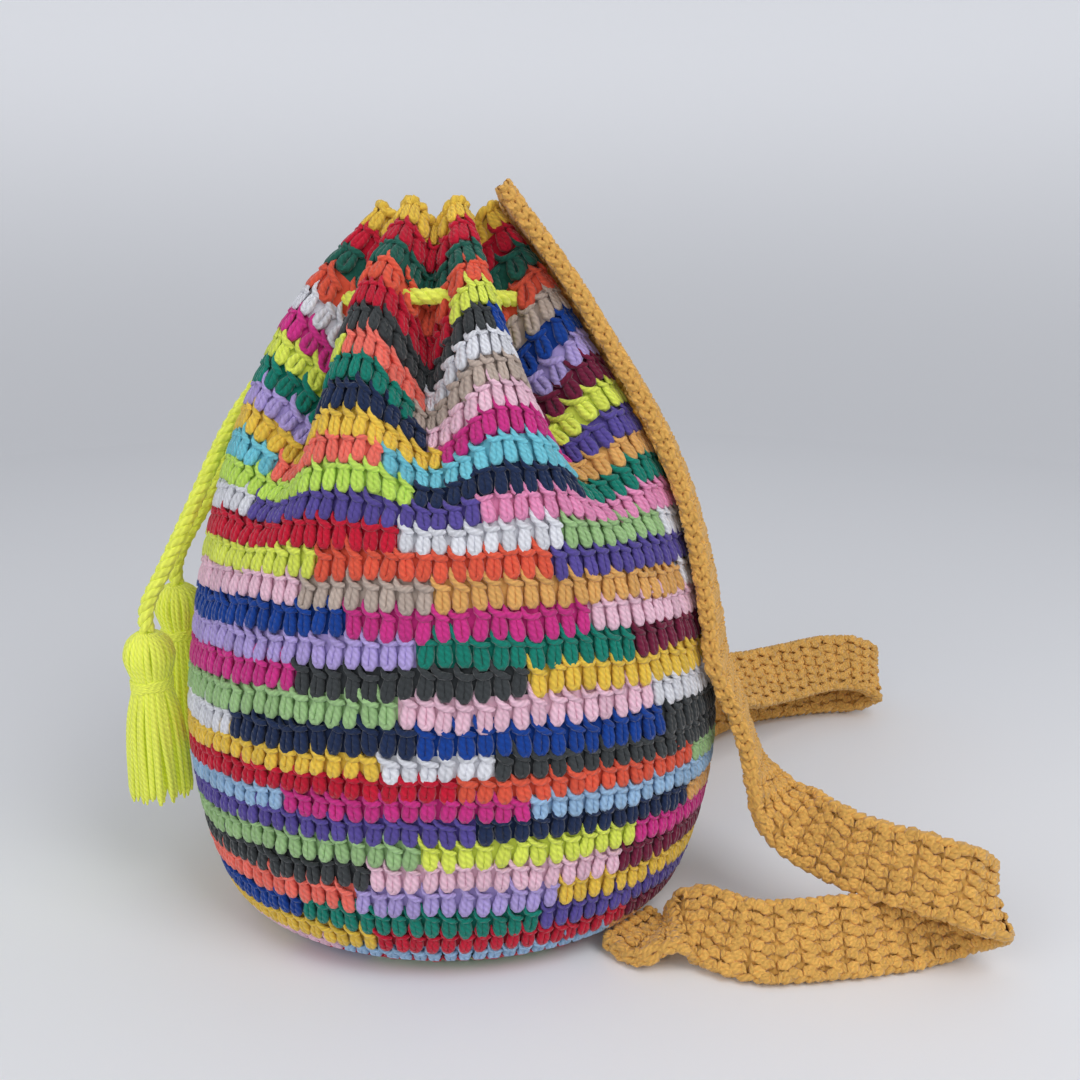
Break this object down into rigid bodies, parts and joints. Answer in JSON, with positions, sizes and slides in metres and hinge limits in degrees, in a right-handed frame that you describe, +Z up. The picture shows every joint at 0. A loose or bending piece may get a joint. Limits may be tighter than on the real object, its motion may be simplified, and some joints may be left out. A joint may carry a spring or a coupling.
{
  "type": "crochet backpack",
  "caption": "Standing crocheted drawstring backpack in multicolour striped rows, with a gathered mouth, a braided cord with tassels and looped flat straps.",
  "frame": {"origin": "middle of the flat round base, on the surface that the bag stands on", "axes": "+Z up to the mouth, -Y to the front where the drawstring hangs, +Y to the back with the straps, +X to the wearer's right"},
  "size_m": [0.3322, 0.4509, 0.3582],
  "materials": {
    "crochet_wall": "crocheted cotton yarn, rows in many colours",
    "mustard_strap": "crocheted cotton yarn, mustard",
    "neon_cord": "braided yarn, neon yellow"
  },
  "bodies": {
    "root": {"bag_body": "crochet_wall", "drawstring": "neon_cord", "strap_right": "mustard_strap", "strap_left": "mustard_strap", "tassel_right": "neon_cord", "tassel_right_tie": "neon_cord", "tassel_left": "neon_cord", "tassel_left_tie": "neon_cord"}
  },
  "joints": []
}
